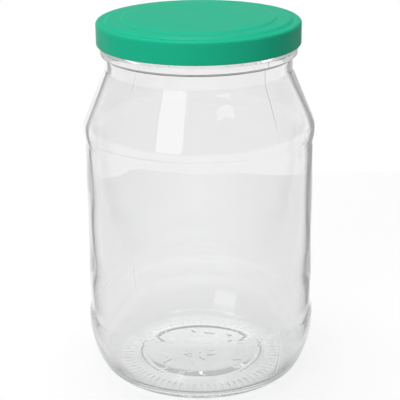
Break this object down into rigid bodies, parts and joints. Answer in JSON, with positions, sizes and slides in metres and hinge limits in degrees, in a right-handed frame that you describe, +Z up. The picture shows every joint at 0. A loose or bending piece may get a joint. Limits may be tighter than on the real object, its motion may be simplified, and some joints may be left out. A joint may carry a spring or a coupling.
{
  "type": "preserving jar",
  "caption": "Round clear glass preserving jar with sloped shoulders, rounded heel and a flat green twist-off steel cap, standing closed and empty.",
  "frame": {"origin": "on the jar's vertical axis, in the plane that the bearing ring stands on", "axes": "+Z up along the jar's axis, from the base to the cap; +Y points away from the viewer who faces the jar, and +X to that viewer's right"},
  "size_m": [0.0988, 0.0988, 0.1561],
  "materials": {
    "clear_glass": "clear, fire-polished soda-lime glass",
    "green_enamel": "green enamel on tinplate, semi-gloss",
    "seal_compound": "matt sealing compound"
  },
  "bodies": {
    "root": {"glass_jar": "clear_glass", "cap": "green_enamel", "sealing_ring": "seal_compound"}
  },
  "joints": []
}
